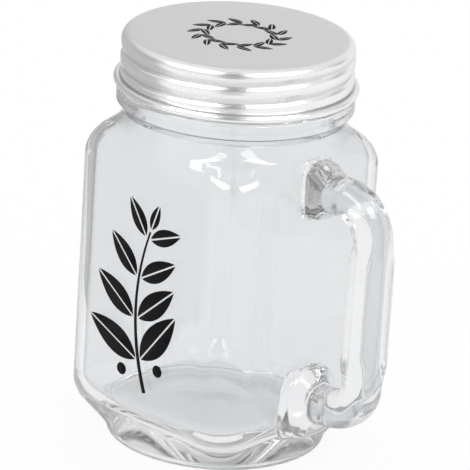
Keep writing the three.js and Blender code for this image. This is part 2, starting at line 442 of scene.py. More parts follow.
@dataclass(frozen=True)
class BrushedAluminium:
    """Thin aluminium sheet, brushed in straight lines before it was drawn to a lid.

    Pale silver whose fine parallel scratches blur reflections across the grain. The flat top's colour is
    darkened against the skirt, a painted shade, and the skirt is smoother. The downward walls of the
    thread's groove and the crease over the bead have darker colour, painted shade, and are rougher. The
    grain is drawn coarser than the real one, which would be too fine to show.
    """

    colour: str = "#FFFFFF"
    dull: str = "#E9E9EA"
    edge: str = "#EDEDEE"
    roughness: float = 0.31
    skirt_roughness: float = 0.17
    skirt_mm: tuple[float, float] = (124.8, 126.0)
    # Band and share of the painted shade that darkens the flat top against the skirt.
    top_shade_mm: tuple[float, float] = (126.05, 126.19)
    top_shade_share: float = 0.83
    # Painted shade per unit of the lid's shade attribute, and the roughness that the attribute adds.
    painted_shade_share: float = 0.22
    scuff_roughness: float = 0.1
    grain_mm: float = 0.45
    grain_run_mm: float = 30.0
    grain_angle: float = 52.6
    grain_detail: float = 3.0
    grain_break: float = 0.6
    grain_roughness: float = 0.1
    grain_strength: float = 0.06
    grain_depth_mm: float = 0.02

    def make(self) -> bpy.types.Material:
        """Make the material.

        Returns:
            The material.
        """
        material = bpy.data.materials.new("brushed_aluminium")
        tree = empty_tree(material)
        place = add_node(tree, "ShaderNodeTexCoord")
        along = add_node(tree, "ShaderNodeMapping", {
            "Vector": place.outputs["Object"], "Rotation": (0.0, 0.0, -math.radians(self.grain_angle))})
        stretch = add_node(tree, "ShaderNodeMapping", {
            "Vector": along.outputs["Vector"],
            "Scale": [1.0 / (size * MM) for size in (self.grain_run_mm, self.grain_mm, self.grain_mm)]})
        grain = add_node(tree, "ShaderNodeTexNoise", {
            "Vector": stretch.outputs["Vector"], "Scale": 1.0, "Detail": self.grain_detail,
            "Roughness": self.grain_break})
        tone = add_node(tree, "ShaderNodeMix", {
            0: grain.outputs["Fac"], 6: linear(self.dull), 7: linear(self.colour)}, data_type="RGBA")
        level = add_node(tree, "ShaderNodeSeparateXYZ", {0: place.outputs["Object"]})
        polish = add_node(tree, "ShaderNodeMapRange", {
            "Value": level.outputs["Z"], "From Min": self.skirt_mm[0] * MM,
            "From Max": self.skirt_mm[1] * MM, "To Min": self.skirt_roughness, "To Max": self.roughness})
        # Painted shade: the flat top's colour is darkened.
        face = add_node(tree, "ShaderNodeMapRange", {
            "Value": level.outputs["Z"], "From Min": self.top_shade_mm[0] * MM, "From Max": self.top_shade_mm[1] * MM,
            "To Min": 1.0, "To Max": self.top_shade_share})
        # Painted shade: the attribute darkens the colour on the groove's downward walls and in the crease
        # over the bead, and also raises the roughness there.
        shade_and_dull = add_node(tree, "ShaderNodeAttribute", attribute_name=SHADE_AND_DULL)
        painted_shade = add_node(tree, "ShaderNodeMapRange", {
            "Value": shade_and_dull.outputs["Fac"], "To Min": 1.0, "To Max": 1.0 - self.painted_shade_share}, clamp=False)
        share = add_node(tree, "ShaderNodeMath", {0: face.outputs["Result"], 1: painted_shade.outputs["Result"]},
                         operation="MULTIPLY")
        sheet = add_node(tree, "ShaderNodeVectorMath", {0: tone.outputs[2], "Scale": share.outputs[0]},
                         operation="SCALE")
        rough = add_node(tree, "ShaderNodeMath", {
            0: grain.outputs["Fac"], 1: self.grain_roughness, 2: polish.outputs["Result"]},
            operation="MULTIPLY_ADD")
        worn = add_node(tree, "ShaderNodeMath", {
            0: shade_and_dull.outputs["Fac"], 1: self.scuff_roughness, 2: rough.outputs[0]},
            operation="MULTIPLY_ADD")
        skin = add_node(tree, "ShaderNodeBump", {
            "Strength": self.grain_strength, "Distance": self.grain_depth_mm * MM,
            "Height": grain.outputs["Fac"]})
        metal = add_node(tree, "ShaderNodeBsdfPrincipled", {
            "Base Color": sheet.outputs["Vector"], "Metallic": 1.0, "Roughness": worn.outputs[0],
            "Specular Tint": linear(self.edge), "Normal": skin.outputs["Normal"]})
        add_node(tree, "ShaderNodeOutputMaterial", {"Surface": metal.outputs["BSDF"]})
        return material


@dataclass(frozen=True)
class FoamSheet:
    """Closed-cell polyethylene foam, cut from sheet.

    Matte white with a fine pebbled skin.
    """

    colour: str = "#F4F3EE"
    shade: str = "#E6E5DF"
    cell_mm: float = 0.5
    pebble_mm: float = 0.05
    pebble_strength: float = 0.3
    roughness: float = 0.85
    ior: float = 1.5

    def make(self) -> bpy.types.Material:
        """Make the material.

        Returns:
            The material.
        """
        material = bpy.data.materials.new("polyethylene_foam")
        tree = empty_tree(material)
        place = add_node(tree, "ShaderNodeTexCoord")
        cells = add_node(tree, "ShaderNodeTexVoronoi", {
            "Vector": place.outputs["Object"], "Scale": 1.0 / (self.cell_mm * MM)})
        tone = add_node(tree, "ShaderNodeMix", {
            0: cells.outputs["Distance"], 6: linear(self.colour), 7: linear(self.shade)}, data_type="RGBA")
        skin = add_node(tree, "ShaderNodeBump", {
            "Strength": self.pebble_strength, "Distance": self.pebble_mm * MM,
            "Height": cells.outputs["Distance"]})
        foam = add_node(tree, "ShaderNodeBsdfPrincipled", {
            "Base Color": tone.outputs[2], "Roughness": self.roughness, "IOR": self.ior,
            "Normal": skin.outputs["Normal"]})
        add_node(tree, "ShaderNodeOutputMaterial", {"Surface": foam.outputs["BSDF"]})
        return material


@dataclass(frozen=True)
class PrintInk:
    """Ceramic ink, screen printed and fired on.

    Near black with a soft gloss and a faint mottle where the screen laid it unevenly.
    """

    colour: str = "#0D0E10"
    thin: str = "#17181B"
    roughness: float = 0.5
    gloss: float = 0.08
    ior: float = 1.5
    mottle_mm: float = 1.2
    mottle_detail: float = 3.0
    mottle_depth_mm: float = 0.02
    mottle_strength: float = 0.2

    def make(self) -> bpy.types.Material:
        """Make the material.

        Returns:
            The material.
        """
        material = bpy.data.materials.new("fired_screen_ink")
        tree = empty_tree(material)
        place = add_node(tree, "ShaderNodeTexCoord")
        mottle = add_node(tree, "ShaderNodeTexNoise", {
            "Vector": place.outputs["Object"], "Scale": 1.0 / (self.mottle_mm * MM),
            "Detail": self.mottle_detail})
        tone = add_node(tree, "ShaderNodeMix", {
            0: mottle.outputs["Fac"], 6: linear(self.colour), 7: linear(self.thin)}, data_type="RGBA")
        skin = add_node(tree, "ShaderNodeBump", {
            "Strength": self.mottle_strength, "Distance": self.mottle_depth_mm * MM,
            "Height": mottle.outputs["Fac"]})
        ink = add_node(tree, "ShaderNodeBsdfPrincipled", {
            "Base Color": tone.outputs[2], "Roughness": self.roughness, "IOR": self.ior,
            "Specular IOR Level": self.gloss, "Normal": skin.outputs["Normal"]})
        add_node(tree, "ShaderNodeOutputMaterial", {"Surface": ink.outputs["BSDF"]})
        return material


@dataclass
class GlassJar:
    """The jar and its fused handle, one piece of glass."""

    # Body, a rounded square: half its width across the flats, its corners and its wall.
    half: float = 34.5
    corner: float = 12.0
    wall: float = 3.0
    inner_corner: float = 9.0
    # Inside, from the floor up to the throat.
    floor_z: float = 9.7
    floor_fillet: float = 9.0
    floor_round: float = 27.0
    floor_dish: float = 0.5
    throat_lift: float = 2.0
    inner_cove: float = 9.0
    inner_run: float = 4.0
    # Foot, from the hollow under it to the chamfer that meets the body.
    punt: float = 0.8
    punt_fillet: float = 6.0
    bearing_radius: float = 28.0
    foot: float = 33.3
    foot_fillet: float = 1.5
    foot_height: float = 2.3
    heel_fillet: float = 0.8
    chamfer_z: float = 11.94
    chamfer_fillet: float = 8.6
    # Shoulder, throat, ring of the neck, and the finish that carries the thread.
    shoulder_z: float = 93.0
    shoulder_top: float = 98.9
    shoulder_fillet: float = 8.8
    throat: float = 33.5
    throat_top: float = 102.6
    throat_fillet: float = 1.0
    cove: float = 5.0
    neck: float = 34.6
    ring_z: float = 104.8
    ring_crease: float = 0.3
    ring_flare: float = 0.55
    ring_low_fillet: float = 0.8
    ring_top: float = 110.0
    ring_fillet: float = 1.1
    ring: float = 35.6
    finish: float = 32.6
    finish_fillet: float = 0.6
    bore: float = 30.2
    rim_z: float = 124.1
    rim_round: float = 1.15
    thread: Helix = Helix(top=121.3, start_angle=0.9, pitch=5.6, turns=1.45, width=3.0, depth=0.8)
    # Marks of the mould, how far they keep from the ends of a band, and the longest runs of the skins.
    margin: float = 0.3
    seam: float = 0.12
    unevenness: float = 0.16
    uneven_run: float = 17.0
    body_run: float = 5.0
    thread_run: float = 0.4
    brink: float = 0.1
    around: int = 192
    rim_weld: float = 0.001
    # Handle: the bar, its bends, its feet on the panel, and its hand-drawn waviness.
    bar_x: float = 57.3
    bar_width: float = 11.6
    bar_depth: float = 11.4
    bar_edge: float = 0.45
    bend_edge: float = 0.85
    foot_edge: float = 0.5
    bend_run: float = 7.0
    upper_z: float = 89.0
    upper_foot_z: float = 87.8
    bend_z: float = 23.4
    lower_z: float = 20.57
    upper_bend: float = 11.5
    lower_bend: float = 10.0
    upper_foot: tuple[float, float] = (12.4, 17.0)
    lower_foot: tuple[float, float] = (20.0, 21.0)
    foot_hold: float = 3.5
    flare: float = 8.5
    fuse_fillet: float = 0.8
    melt_reach: float = 14.0
    melt_margin: float = 0.05
    melt_share: float = 0.5
    bar_wave: float = 0.05
    bar_wave_run: float = 8.0
    bar_ripple: float = 0.03
    bar_ripple_run: float = 2.5
    bar_sides: int = 48
    stations: int = 150
    crowding: float = 0.8

    @property
    def lip(self) -> float:
        """Radius of the middle of the rim."""
        return (self.finish + self.bore) / 2.0

    def build(self, glass: bpy.types.Material) -> bpy.types.Object:
        """Build the jar with its handle.

        Args:
            glass: The material.

        Returns:
            The piece.
        """
        shape = bmesh.new()
        self._outer_skin(shape)
        self._inner_skin(shape)
        bmesh.ops.remove_doubles(shape, verts=shape.verts, dist=self.rim_weld)
        bmesh.ops.recalc_face_normals(shape, faces=shape.faces)
        fused = self._fuse(shape, self._handle())
        self._melt(fused)
        piece = hand_over("jar_glass_body", fused, glass, Body.JAR, ("jar", "handle"))
        piece.modifiers.new("even_normals", "WEIGHTED_NORMAL")
        return piece

    def _melt(self, fused: bmesh.types.BMesh) -> None:
        """Soften the handle and the panel round its feet, as heat does.

        Args:
            fused: The jar with its handle.
        """
        soft = [v for v in fused.verts
                if v.co.x > self.half - self.melt_margin and abs(v.co.y) < self.melt_reach]
        bmesh.ops.smooth_vert(fused, verts=soft, factor=self.melt_share, use_axis_x=True,
                              use_axis_y=True, use_axis_z=True)

    def _outer_skin(self, shape: bmesh.types.BMesh) -> None:
        """Add the outside, from the middle of the base to the top of the rim.

        Args:
            shape: The mesh that gets it.
        """
        body = SquareMould(self.half, self.corner, self.foot)
        shoulder = SquareMould(self.half, self.corner, self.throat)
        wide = body.diagonal
        Outline((
            (0.0, self.punt, 0.0), (self.bearing_radius, 0.0, self.punt_fillet),
            (self.foot, 0.0, self.foot_fillet), (self.foot, self.foot_height, self.heel_fillet),
            (wide, self.chamfer_z, self.chamfer_fillet), (wide, self.shoulder_z, self.shoulder_fillet),
            (self.throat, self.shoulder_top, self.cove), (self.throat, self.throat_top, self.throat_fillet),
            (self.neck, self.ring_z, self.ring_crease),
            (self.ring, self.ring_z + self.ring_flare, self.ring_low_fillet),
            (self.ring, self.ring_top, self.ring_fillet), (self.finish, self.ring_top, self.finish_fillet),
            (self.finish, self.rim_z, self.rim_round), (self.lip, self.rim_z, 0.0),
        )).draw(shape)
        divide_line(shape, 0.0, self.ring_top - self.brink, self.body_run)
        divide_line(shape, self.ring_top + self.brink, self.rim_z - self.brink, self.thread_run)
        middle = (self.chamfer_z + self.shoulder_z) / 2.0
        for vert in spin_line(shape, self.around):
            angle = math.atan2(vert.co.y, vert.co.x)
            level = vert.co.z
            if level < self.throat_top - self.margin:
                vert.co = (body if level < middle else shoulder).press(vert.co)
            rise = 0.0
            if self.ring_top + self.margin < level < self.rim_z - self.margin:
                rise = self.thread.height(angle, level)
            elif self.foot_height < level < self.ring_top and abs(math.sin(angle)) < TOUCHING:
                rise = self.seam
            if rise:
                radius = vert.co.xy.length
                vert.co.xy *= (radius + rise) / radius

    def _inner_skin(self, shape: bmesh.types.BMesh) -> None:
        """Add the inside, from the top of the rim to the middle of the floor.

        Args:
            shape: The mesh that gets it.
        """
        mould = SquareMould(self.half - self.wall, self.inner_corner, self.bore)
        bowl = SquareMould(mould.half, mould.corner, self.floor_round)
        outer = SquareMould(self.half, self.corner).diagonal
        slope = Vector((self.throat - outer, self.shoulder_top - self.shoulder_z)).normalized()
        steep = slope.y / slope.x
        inset = self.shoulder_top + self.wall * slope.x - (self.throat - self.wall * slope.y) * steep
        top, edge = (inset + radius * steep for radius in (self.bore, mould.diagonal))
        Outline((
            (self.lip, self.rim_z, 0.0), (self.bore, self.rim_z, self.rim_round),
            (self.bore, top + self.throat_lift, self.inner_cove),
            (mould.diagonal, edge, self.shoulder_fillet - self.wall),
            (mould.diagonal, self.floor_z, self.floor_fillet), (0.0, self.floor_z - self.floor_dish, 0.0),
        )).draw(shape)
        divide_line(shape, 0.0, self.rim_z - self.brink, self.inner_run)
        middle = (self.floor_z + self.shoulder_z) / 2.0
        for vert in spin_line(shape, self.around):
            vert.co = (bowl if vert.co.z < middle else mould).press(vert.co)
            if vert.co.z < self.shoulder_z and vert.co.xy.length > self.bore / 2.0:
                swim = noise.noise(vert.co / self.uneven_run)
                vert.co.xy *= 1.0 + self.unevenness * swim / vert.co.xy.length

    def _handle(self) -> bmesh.types.BMesh:
        """Draw a bar and bend it to the handle.

        Returns:
            The bar, with ends that reach into the wall.
        """
        root = self.half - self.wall / 2.0
        path = Outline(((root, self.upper_foot_z, 0.0), (self.bar_x, self.upper_z, self.upper_bend),
                        (self.bar_x, self.bend_z, self.lower_bend), (root, self.lower_z, 0.0))).path()
        runs = [0.0]
        for here, there in zip(path, path[1:]):
            runs.append(runs[-1] + (there - here).length)
        bar = bmesh.new()
        bmesh.ops.create_cone(bar, cap_ends=True, cap_tris=False, segments=self.bar_sides, radius1=1.0,
                              radius2=1.0, depth=1.0)
        sides = [e for e in bar.edges if abs(e.verts[0].co.z - e.verts[1].co.z) > 0.5]
        bmesh.ops.subdivide_edges(bar, edges=sides, cuts=self.stations)
        for vert in bar.verts:
            turn = vert.co.z + 0.5
            run = runs[-1] * (turn - self.crowding * math.sin(math.tau * turn) / math.tau)
            k = next((i for i in range(1, len(runs) - 1) if run < runs[i]), len(runs) - 1)
            share = (run - runs[k - 1]) / (runs[k] - runs[k - 1])
            centre = path[k - 1].lerp(path[k], share)
            along = self._heading(path, k, share)
            wide, deep = self._bar_size(centre)
            angle = math.atan2(vert.co.y, vert.co.x)
            reach = SquareMould(1.0, self._bar_edge(centre)).reach(angle)
            across = reach * math.cos(angle) * wide / 2.0
            out = reach * math.sin(angle) * deep / 2.0
            vert.co = Vector((centre.x - along.z * out, across, centre.z + along.x * out))
            wave = self.bar_wave * noise.noise(vert.co / self.bar_wave_run)
            wave += self.bar_ripple * noise.noise(vert.co / self.bar_ripple_run)
            vert.co += (vert.co - centre).normalized() * wave
        bmesh.ops.recalc_face_normals(bar, faces=bar.faces)
        return bar

    @staticmethod
    def _heading(path: list[Vector], k: int, share: float) -> Vector:
        """Direction of the bar's path, eased from one run to the next.

        Args:
            path: Points of the path.
            k: Number of the point that ends the run.
            share: Place on the run, from nought to one.

        Returns:
            A unit vector.
        """
        last = len(path) - 1
        before = (path[k] - path[max(k - 2, 0)]).normalized()
        after = (path[min(k + 1, last)] - path[k - 1]).normalized()
        return before.lerp(after, share).normalized()

    def _bar_edge(self, centre: Vector) -> float:
        """Rounding of the bar's section, as a share of its half width.

        Args:
            centre: A point of the path.

        Returns:
            The rounding, which is greatest in the bends.
        """
        straight = min(self.upper_z - self.upper_bend - centre.z, centre.z - self.bend_z - self.lower_bend)
        rooted = min(max(1.0 - (centre.x - self.half) / self.flare, 0.0), 1.0)
        round_bend = self.bend_edge + (self.foot_edge - self.bend_edge) * rooted
        return self.bar_edge + (round_bend - self.bar_edge) * eased(1.0 - straight / self.bend_run)

    def _bar_size(self, centre: Vector) -> tuple[float, float]:
        """Width and depth of the bar, which swells to a foot at the panel.

        Args:
            centre: A point of the path.

        Returns:
            Width and depth.
        """
        away = centre.x - self.half
        swell = 1.0 - eased((away - self.foot_hold) / (self.flare - self.foot_hold))
        gap = self.fuse_fillet - min(max(away, 0.0), self.fuse_fillet)
        melt = 2.0 * (self.fuse_fillet - math.sqrt(max(self.fuse_fillet ** 2 - gap ** 2, 0.0)))
        foot = self.upper_foot if centre.z > (self.upper_z + self.lower_z) / 2.0 else self.lower_foot
        return (self.bar_width + (foot[0] - self.bar_width) * swell + melt,
                self.bar_depth + (foot[1] - self.bar_depth) * swell + melt)

    @staticmethod
    def _fuse(jar: bmesh.types.BMesh, bar: bmesh.types.BMesh) -> bmesh.types.BMesh:
        """Fuse the bar to the jar.

        Args:
            jar: The jar's shape, which is freed.
            bar: The bar's shape, which is freed.

        Returns:
            One closed shape.
        """
        blanks = []
        for name, shape in (("blank_jar", jar), ("blank_bar", bar)):
            mesh = bpy.data.meshes.new(name)
            shape.to_mesh(mesh)
            shape.free()
            blank = bpy.data.objects.new(name, mesh)
            bpy.context.scene.collection.objects.link(blank)
            blanks.append(blank)
        weld = blanks[0].modifiers.new("weld", "BOOLEAN")
        weld.operation = "UNION"
        weld.solver = "EXACT"
        weld.object = blanks[1]
        graph = bpy.context.evaluated_depsgraph_get()
        fused = bmesh.new()
        fused.from_object(blanks[0], graph)
        for blank in blanks:
            mesh = blank.data
            bpy.data.objects.remove(blank)
            bpy.data.meshes.remove(mesh)
        bmesh.ops.remove_doubles(fused, verts=fused.verts, dist=TOUCHING)
        return fused


@dataclass
class ScrewLid:
    """The lid: a drawn aluminium shell with a thread formed into its skirt by a roller and a curled lower
    edge.
    """

    # Shell and curled bead.
    skirt: float = 34.85
    skin: float = 0.4
    top: float = 126.2
    top_round: float = 2.7
    bead_low: float = 110.6
    bead_high: float = 112.8
    bead: float = 36.6
    # Thread groove formed by the roller, how far below a point to look for the groove deepening, which marks
    # the downward wall that gets a painted shade, and the band that it keeps to.
    groove: Helix = Helix(top=122.5, start_angle=1.05, pitch=5.2, turns=1.62, width=3.9, depth=0.8,
                          fade=0.16, skew=0.55)
    down_wall_probe: float = 0.2
    groove_margins: tuple[float, float] = (0.3, 0.8)
    groove_reach: float = 1.0
    # Lower edge, and the crease over the bead, whose colour gets a painted shade line.
    hem_fillet: float = 0.9
    curl_fillet: float = 1.05
    crease: tuple[float, float, float] = (-0.25, -0.1, 0.12)
    skirt_foot: tuple[float, float] = (0.7, 0.3)
    crease_painted_shade: float = 2.0
    crease_height: float = 0.35
    crease_clear: float = 0.05
    # Longest runs of the skirt and the top, and how far under the top each one's band ends.
    skirt_run: float = 0.35
    skirt_stop: float = 1.0
    top_run: float = 6.0
    top_stop: float = 0.5
    around: int = 224

    def build(self, metal: bpy.types.Material) -> bpy.types.Object:
        """Build the lid.

        Args:
            metal: The material.

        Returns:
            The piece.
        """
        shape = bmesh.new()
        inside = self.skirt - self.skin
        Outline((
            (0.0, self.top - self.skin, 0.0), (inside, self.top - self.skin, self.top_round - self.skin),
            (inside, self.bead_low, self.hem_fillet), (self.bead, self.bead_low, self.curl_fillet),
            (self.bead, self.bead_high, self.curl_fillet),
            (self.skirt + self.crease[0], self.bead_high + self.crease[1], self.crease[2]),
            (self.skirt, self.bead_high + self.skirt_foot[0], self.skirt_foot[1]),
            (self.skirt, self.top, self.top_round), (0.0, self.top, 0.0),
        )).draw(shape)
        divide_line(shape, self.bead_high, self.top - self.skirt_stop, self.skirt_run)
        divide_line(shape, self.top - self.top_stop, self.top, self.top_run)
        low, high = self.bead_high + self.groove_margins[0], self.top - self.groove_margins[1]
        shade_and_dull = shape.verts.layers.float.new(SHADE_AND_DULL)
        for vert in spin_line(shape, self.around):
            level = vert.co.z
            radius = vert.co.xy.length
            if low < level < high and radius > inside - self.groove_reach:
                angle = math.atan2(vert.co.y, vert.co.x)
                dip = self.groove.height(angle, level)
                # Where the groove deepens just below, the wall faces down, and its colour gets a painted
                # shade by the groove's depth.
                if self.groove.height(angle, level - self.down_wall_probe) > dip:
                    vert[shade_and_dull] = dip / self.groove.depth
                vert.co.xy *= (radius - dip) / radius
            # Painted shade line in the crease over the bead.
            elif (abs(level - self.bead_high) < self.crease_height
                  and inside < radius < self.skirt - self.crease_clear):
                vert[shade_and_dull] = self.crease_painted_shade
        return hand_over("lid_shell", shape, metal, Body.LID, ("lid",))


@dataclass
class LidLiner:
    """The liner: a foam disc with the mark that the rim has pressed into it."""

    radius: float = 32.7
    low: float = 124.4
    high: float = 125.5
    edge: float = 0.25
    mark: float = 0.14
    mark_inner: float = 30.1
    mark_outer: float = 32.3
    mark_slopes: tuple[float, float] = (0.2, 0.1)
    mark_fillets: tuple[float, float] = (0.1, 0.05)
    under_edge: float = 0.12
    run: float = 5.0
    fillet_steps: int = 4
    around: int = 128

    def build(self, foam: bpy.types.Material) -> bpy.types.Object:
        """Build the liner.

        Args:
            foam: The material.

        Returns:
            The piece.
        """
        shape = bmesh.new()
        pressed = self.low + self.mark
        Outline((
            (0.0, self.low, 0.0), (self.mark_inner - self.mark_slopes[0], self.low, self.mark_fillets[0]),
            (self.mark_inner, pressed, self.mark_fillets[0]),
            (self.mark_outer, pressed, self.mark_fillets[1]),
            (self.mark_outer + self.mark_slopes[1], self.low, self.mark_fillets[1]),
            (self.radius, self.low, self.under_edge), (self.radius, self.high, self.edge),
            (0.0, self.high, 0.0),
        )).draw(shape, self.fillet_steps)
        divide_line(shape, self.low, self.high, self.run)
        spin_line(shape, self.around)
        return hand_over("lid_liner_foam", shape, foam, Body.LINER, ("lid_liner",))


@dataclass
class LeafPrint:
    """A printed sprig: leaves with a bare midrib, berries and a stem, in a thin film of ink."""

    film: float = 0.03
    lift: float = 0.01
    midrib: float = 0.5
    blunt: float = 0.35
    heel: float = 0.25
    leaf_sides: int = 48
    berry_sides: int = 32
    stem_runs: int = 36

    def leaf(self, sheet: bmesh.types.BMesh, foot: Vector, angle: float, length: float,
             width: float) -> None:
        """Print one leaf.

        Args:
            sheet: The mesh that gets it, flat in its XY plane.
            foot: Where the leaf starts.
            angle: Its direction, in radians.
            length: Its length.
            width: Its greatest width.
        """
        stamp = bmesh.new()
        bmesh.ops.create_circle(stamp, cap_ends=True, cap_tris=False, segments=self.leaf_sides, radius=1.0)
        for vert in stamp.verts:
            along, across = vert.co.x, vert.co.y
            slim = max(1.0 - along * along, 0.0) ** self.blunt * (1.0 - self.heel * along)
            vert.co = Vector(((along + 1.0) * length / 2.0, across * slim * width / 2.0, 0.0))
        for side in (-1.0, 1.0):
            bmesh.ops.bisect_plane(stamp, geom=[*stamp.verts, *stamp.edges, *stamp.faces],
                                   plane_co=(0.0, side * self.midrib / 2.0, 0.0), plane_no=(0.0, 1.0, 0.0))
        rib = [f for f in stamp.faces if abs(f.calc_center_median().y) < self.midrib / 4.0]
        bmesh.ops.delete(stamp, geom=rib, context="FACES")
        place = Matrix.Translation(foot) @ Matrix.Rotation(angle, 4, "Z")
        bmesh.ops.transform(stamp, matrix=place, verts=stamp.verts)
        self._add(sheet, stamp)

    def berry(self, sheet: bmesh.types.BMesh, middle: Vector, radius: float) -> None:
        """Print one berry.

        Args:
            sheet: The mesh that gets it.
            middle: Its middle.
            radius: Its radius.
        """
        bmesh.ops.create_circle(sheet, cap_ends=True, cap_tris=False, segments=self.berry_sides,
                                radius=radius, matrix=Matrix.Translation(middle))

    def stem(self, sheet: bmesh.types.BMesh, bend: tuple[Vector, ...], thick: float, thin: float) -> None:
        """Print a tapering stem along a smooth curve.

        Args:
            sheet: The mesh that gets it.
            bend: The three points of the curve: start, pull and end.
            thick: Width at the start.
            thin: Width at the end.
        """
        strip = bmesh.new()
        bmesh.ops.create_grid(strip, x_segments=self.stem_runs, y_segments=1, size=1.0)
        for vert in strip.verts:
            share = (vert.co.x + 1.0) / 2.0
            place, heading = self.along(bend, share)
            side = Vector((-heading.y, heading.x, 0.0)) * (thick + (thin - thick) * share) / 2.0
            vert.co = place + side * vert.co.y
        self._add(sheet, strip)

    @staticmethod
    def along(bend: tuple[Vector, ...], share: float) -> tuple[Vector, Vector]:
        """Place and heading on a stem's curve.

        Args:
            bend: The three points of the curve.
            share: Place on it, from nought to one.

        Returns:
            The point and the unit heading.
        """
        first = bend[0].lerp(bend[1], share)
        second = bend[1].lerp(bend[2], share)
        return first.lerp(second, share), (second - first).normalized()

    @staticmethod
    def _add(sheet: bmesh.types.BMesh, stamp: bmesh.types.BMesh) -> None:
        """Add a stamp to a sheet and free it.

        Args:
            sheet: The mesh that gets it.
            stamp: The mesh to add.
        """
        mesh = bpy.data.meshes.new("stamp")
        stamp.to_mesh(mesh)
        stamp.free()
        sheet.from_mesh(mesh)
        bpy.data.meshes.remove(mesh)

    def thicken(self, sheet: bmesh.types.BMesh, place: Matrix) -> None:
        """Give the flat print its film of ink and lay it on its surface.

        Args:
            sheet: The print, flat in its XY plane.
            place: Turns and moves it to the surface, with its own +Z outward.
        """
        grown = bmesh.ops.extrude_face_region(sheet, geom=list(sheet.faces))["geom"]
        raised = [v for v in grown if isinstance(v, bmesh.types.BMVert)]
        bmesh.ops.translate(sheet, vec=(0.0, 0.0, self.film), verts=raised)
        bmesh.ops.translate(sheet, vec=(0.0, 0.0, self.lift), verts=sheet.verts)
        bmesh.ops.transform(sheet, matrix=place, verts=sheet.verts)


@dataclass
class PanelPrint(LeafPrint):
    """The sprig on the decorated panel."""

    panel: float = 34.5
    middle: tuple[float, float] = (-2.0, 50.0)
    bend: tuple[tuple[float, float], ...] = ((4.0, -29.0), (-6.0, -4.0), (3.0, 22.0))
    stem_width: tuple[float, float] = (1.5, 0.7)
    pairs: int = 4
    pair_shares: tuple[float, float] = (0.2, 0.76)
    shrink: float = 0.4
    leaf_size: tuple[float, float] = (21.5, 8.7)
    leaf_lean: float = 0.9
    leaf_gap: float = 1.0
    berry_place: tuple[float, float] = (7.5, 3.4)
    berry_radius: float = 1.9
    tip_size: tuple[float, float] = (9.0, 3.6)
    tip_gap: float = 0.8

    def build(self, ink: bpy.types.Material) -> bpy.types.Object:
        """Build the print.

        Args:
            ink: The material.

        Returns:
            The piece.
        """
        sheet = bmesh.new()
        bend = tuple(Vector((*point, 0.0)) for point in self.bend)
        self.stem(sheet, bend, *self.stem_width)
        for k in range(self.pairs):
            rank = k / (self.pairs - 1)
            foot, heading = self.along(bend, self.pair_shares[0] + self.pair_shares[1] * rank)
            lean = math.atan2(heading.y, heading.x)
            size = 1.0 - self.shrink * rank
            length, width = (side * size for side in self.leaf_size)
            for side in (-1.0, 1.0):
                out = Vector((-heading.y, heading.x, 0.0)) * side
                self.leaf(sheet, foot + out * self.leaf_gap, lean + side * self.leaf_lean, length, width)
                if k == 0:
                    away, down = (reach * size for reach in self.berry_place)
                    self.berry(sheet, foot + out * away - heading * down, self.berry_radius * size)
        tip, heading = self.along(bend, 1.0)
        self.leaf(sheet, tip + heading * self.tip_gap, math.atan2(heading.y, heading.x), *self.tip_size)
        upright = Matrix(((1, 0, 0, self.middle[0]), (0, 0, -1, -self.panel), (0, 1, 0, self.middle[1]),
                          (0, 0, 0, 1)))
        self.thicken(sheet, upright)
        return hand_over("panel_print", sheet, ink, Body.JAR)


@dataclass
class LidPrint(LeafPrint):
    """A ring of leaves on the lid's top."""

    top: float = 126.2
    ring: float = 11.5
    leaves: int = 14
    leaf_size: tuple[float, float] = (6.0, 2.2)
    leaf_lean: float = 0.62
    midrib: float = 0.32

    def build(self, ink: bpy.types.Material) -> bpy.types.Object:
        """Build the print.

        Args:
            ink: The material.

        Returns:
            The piece.
        """
        sheet = bmesh.new()
        for k in range(self.leaves):
            angle = math.tau * k / self.leaves
            foot = Vector((math.cos(angle), math.sin(angle), 0.0)) * self.ring
            lean = angle + math.pi / 2.0
            for side in (-1.0, 1.0):
                self.leaf(sheet, foot, lean + side * self.leaf_lean, *self.leaf_size)
        self.thicken(sheet, Matrix.Translation((0.0, 0.0, self.top)))
        return hand_over("lid_print", sheet, ink, Body.LID)


@dataclass
class Camera:
    """The camera at the photograph's angle.

    Lengths are millimetres, angles degrees, the focal length pixels, and the clip distances metres.
    """

    azimuth: float = 42.0
    elevation: float = 20.346
    roll: float = 3.716
    distance: float = 1297.2
    focal_px: float = 4317.9
    aside: float = 2.468
    height: float = 63.066
    clip: tuple[float, float] = (0.05, 50.0)

    def place(self) -> None:
        """Set the camera up."""
        roll = math.radians(self.roll)
        right, back = facing(self.azimuth, self.elevation)
        up = back.cross(right)
        place = right * self.aside + Vector((0.0, 0.0, self.height)) + back * self.distance
        tilted = (right * math.cos(roll) + up * math.sin(roll), up * math.cos(roll) - right * math.sin(roll))
        data = bpy.data.cameras.new("camera")
        data.sensor_width = SENSOR
        data.lens = SENSOR * self.focal_px / IMAGE_SIDE
        data.clip_start, data.clip_end = self.clip
        camera = bpy.data.objects.new("camera", data)
        turned = Matrix((*tilted, back)).transposed().to_4x4()
        camera.matrix_world = Matrix.Translation(place * MM) @ turned
        bpy.context.scene.collection.objects.link(camera)
        bpy.context.scene.camera = camera


@dataclass(frozen=True)
class SoftBox:
    """A soft box that faces the jar, with its sizes in metres and a radiance where one is white."""

    name: str
    azimuth: float
    elevation: float
    side: tuple[float, float]
    radiance: float = 5.0
    distance: float = 1.1
    aim: float = 0.06

    def hang(self) -> None:
        """Hang the lamp."""
        right, back = facing(self.azimuth, self.elevation)
        data = bpy.data.lights.new(self.name, "AREA")
        data.shape = "RECTANGLE"
        data.size, data.size_y = self.side
        data.energy = self.radiance * math.pi * self.side[0] * self.side[1]
        lamp = bpy.data.objects.new(self.name, data)
        lamp.visible_diffuse = False
        turned = Matrix((right, back.cross(right), back)).transposed().to_4x4()
        lamp.matrix_world = Matrix.Translation(back * self.distance + Vector((0.0, 0.0, self.aim))) @ turned
        bpy.context.scene.collection.objects.link(lamp)


